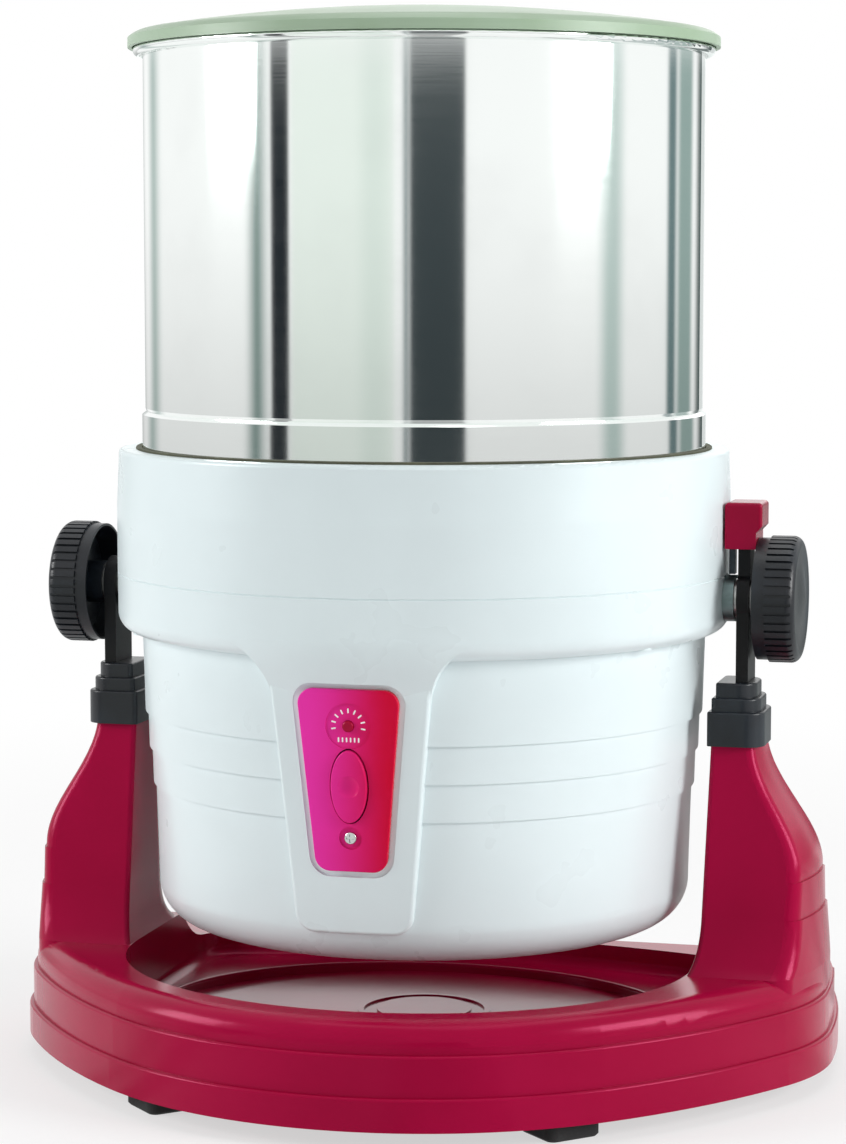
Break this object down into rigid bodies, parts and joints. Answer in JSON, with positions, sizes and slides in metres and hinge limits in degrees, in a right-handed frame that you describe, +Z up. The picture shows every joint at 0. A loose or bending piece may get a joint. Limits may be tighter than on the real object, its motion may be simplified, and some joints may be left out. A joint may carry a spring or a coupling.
{
  "type": "wet grinder",
  "caption": "Tilting tabletop wet grinder: steel drum with base stone and cone rollers in a white head that tips between the arms of a red tray stand",
  "frame": {"origin": "bottom centre of the bounding box, on the table top under the feet; the drum turns about the Z axis", "axes": "+Z up, -Y towards the control panel, +X towards the side with the tilt lock"},
  "size_m": [0.344, 0.3, 0.4365],
  "materials": {
    "stand_plastic": "moulded crimson plastic, satin gloss",
    "foot_rubber": "matt black rubber",
    "zinc_steel": "zinc plated steel",
    "collar_plastic": "black moulded plastic",
    "bracket_paint": "black painted steel",
    "lock_plastic": "red moulded plastic",
    "shell_plastic": "bluish white moulded plastic",
    "seal_rubber": "dark olive rubber",
    "chassis_steel": "zinc plated steel sheet",
    "cast_aluminium": "cast and turned",
    "bearing_steel": "ground steel",
    "shaft_steel": "ground steel",
    "motor_paint": "black lacquered laminations",
    "belt_rubber": "black rubber belt",
    "boss_aluminium": "grey turned metal",
    "panel_plastic": "gloss red plastic",
    "switch_plastic": "black moulded plastic",
    "capacitor_aluminium": "drawn aluminium can",
    "nut_plastic": "black moulded plastic",
    "drum_steel": "polished stainless steel",
    "granite": "fine dressed dark granite",
    "lid_plastic": "pale green moulded plastic",
    "fan_plastic": "white nylon",
    "frame_plastic": "white food grade nylon",
    "spring_steel": "stainless spring wire",
    "bush_brass": "turned bush",
    "knob_plastic": "black moulded plastic, satin",
    "key_plastic": "gloss red plastic",
    "button_plastic": "gloss red plastic"
  },
  "bodies": {
    "stand": {"stand_base": "stand_plastic", "base_feet": "foot_rubber", "stand_screws": "zinc_steel", "left_collar": "collar_plastic", "right_collar": "collar_plastic", "left_bracket": "bracket_paint", "right_bracket": "bracket_paint"},
    "lock": {"lock_cap": "lock_plastic", "lock_tongue": "zinc_steel"},
    "head": {"upper_shell": "shell_plastic", "lower_shell": "shell_plastic", "bottom_cover": "shell_plastic", "cover_screws": "zinc_steel", "hub_cover": "shell_plastic", "drum_seal": "seal_rubber", "chassis_plate": "chassis_steel", "chassis_screws": "zinc_steel", "bearing_housing": "cast_aluminium", "drum_bearings": "bearing_steel", "centre_shaft": "shaft_steel", "shaft_bridge": "chassis_steel", "shaft_nut": "zinc_steel", "motor_body": "motor_paint", "motor_posts": "zinc_steel", "motor_bolts": "zinc_steel", "drive_belt": "belt_rubber", "pivot_bosses": "boss_aluminium", "pivot_studs": "zinc_steel", "clamp_washers": "zinc_steel", "cord_gland": "collar_plastic", "control_panel": "panel_plastic", "panel_screw": "bearing_steel", "switch_body": "switch_plastic", "overload_breaker": "switch_plastic", "run_capacitor": "capacitor_aluminium", "frame_lock_nut": "nut_plastic", "rocker_pin": "zinc_steel"},
    "drum": {"drum": "drum_steel", "base_stone": "granite", "drum_hub": "shaft_steel", "hub_nut": "zinc_steel", "driven_pulley": "cast_aluminium"},
    "lid": {"lid": "lid_plastic"},
    "motor_rotor": {"motor_shaft": "shaft_steel", "motor_pulley": "cast_aluminium", "cooling_fan": "fan_plastic"},
    "stone_frame": {"stone_frame": "frame_plastic", "roller_axles": "shaft_steel", "wiper": "frame_plastic", "pressure_spring": "spring_steel"},
    "left_roller": {"left_roller_stone": "granite", "left_roller_bush": "bush_brass"},
    "right_roller": {"right_roller_stone": "granite", "right_roller_bush": "bush_brass"},
    "left_knob": {"left_knob": "knob_plastic"},
    "right_knob": {"right_knob": "knob_plastic"},
    "rocker_key": {"rocker_key": "key_plastic"},
    "reset_button": {"reset_button": "button_plastic"}
  },
  "joints": [
    {"name": "head_tilt", "type": "hinge", "parent": "stand", "child": "head", "pos_m": [0, 0, 0.198], "axis": [1, 0, 0], "range_deg": [0, 100]},
    {"name": "lock_press", "type": "slide", "parent": "stand", "child": "lock", "axis": [0, 0, -1], "range_m": [0, 0.0024]},
    {"name": "drum_spin", "type": "hinge", "parent": "head", "child": "drum", "pos_m": [0, 0, 0.236], "axis": [0, 0, 1], "continuous": true},
    {"name": "lid_lift", "type": "slide", "parent": "drum", "child": "lid", "axis": [0, 0, 1], "range_m": [0, 0.12]},
    {"name": "motor_spin", "type": "hinge", "parent": "head", "child": "motor_rotor", "pos_m": [0, 0.072, 0.12], "axis": [0, 0, 1], "continuous": true},
    {"name": "stones_float", "type": "slide", "parent": "head", "child": "stone_frame", "axis": [0, 0, 1], "range_m": [0, 0.006], "stiffness_N_per_m": 1800, "springref_m": -0.012, "deforming": ["pressure_spring"]},
    {"name": "left_roller_spin", "type": "hinge", "parent": "stone_frame", "child": "left_roller", "pos_m": [0, 0, 0.2623], "axis": [-0.9217, 0, 0.388], "continuous": true},
    {"name": "right_roller_spin", "type": "hinge", "parent": "stone_frame", "child": "right_roller", "pos_m": [0, 0, 0.2623], "axis": [0.9217, 0, 0.388], "continuous": true},
    {"name": "left_knob_turn", "type": "hinge", "parent": "head", "child": "left_knob", "pos_m": [-0.139, 0, 0.198], "axis": [-1, 0, 0], "range_deg": [0, 270]},
    {"name": "right_knob_turn", "type": "hinge", "parent": "head", "child": "right_knob", "pos_m": [0.139, 0, 0.198], "axis": [1, 0, 0], "range_deg": [0, 270]},
    {"name": "rocker_tip", "type": "hinge", "parent": "head", "child": "rocker_key", "pos_m": [0, -0.11227, 0.13398], "axis": [1, 0, 0], "range_deg": [-6, 6]},
    {"name": "reset_press", "type": "slide", "parent": "head", "child": "reset_button", "axis": [0, 0.9977, 0.068], "range_m": [0, 0.002], "stiffness_N_per_m": 400, "springref_m": -0.002}
  ],
  "couplings": [
    {"joint": "motor_spin", "follows": "drum_spin", "ratio": 6.5882},
    {"joint": "left_roller_spin", "follows": "drum_spin", "ratio": 2.5773},
    {"joint": "right_roller_spin", "follows": "drum_spin", "ratio": 2.5773}
  ]
}
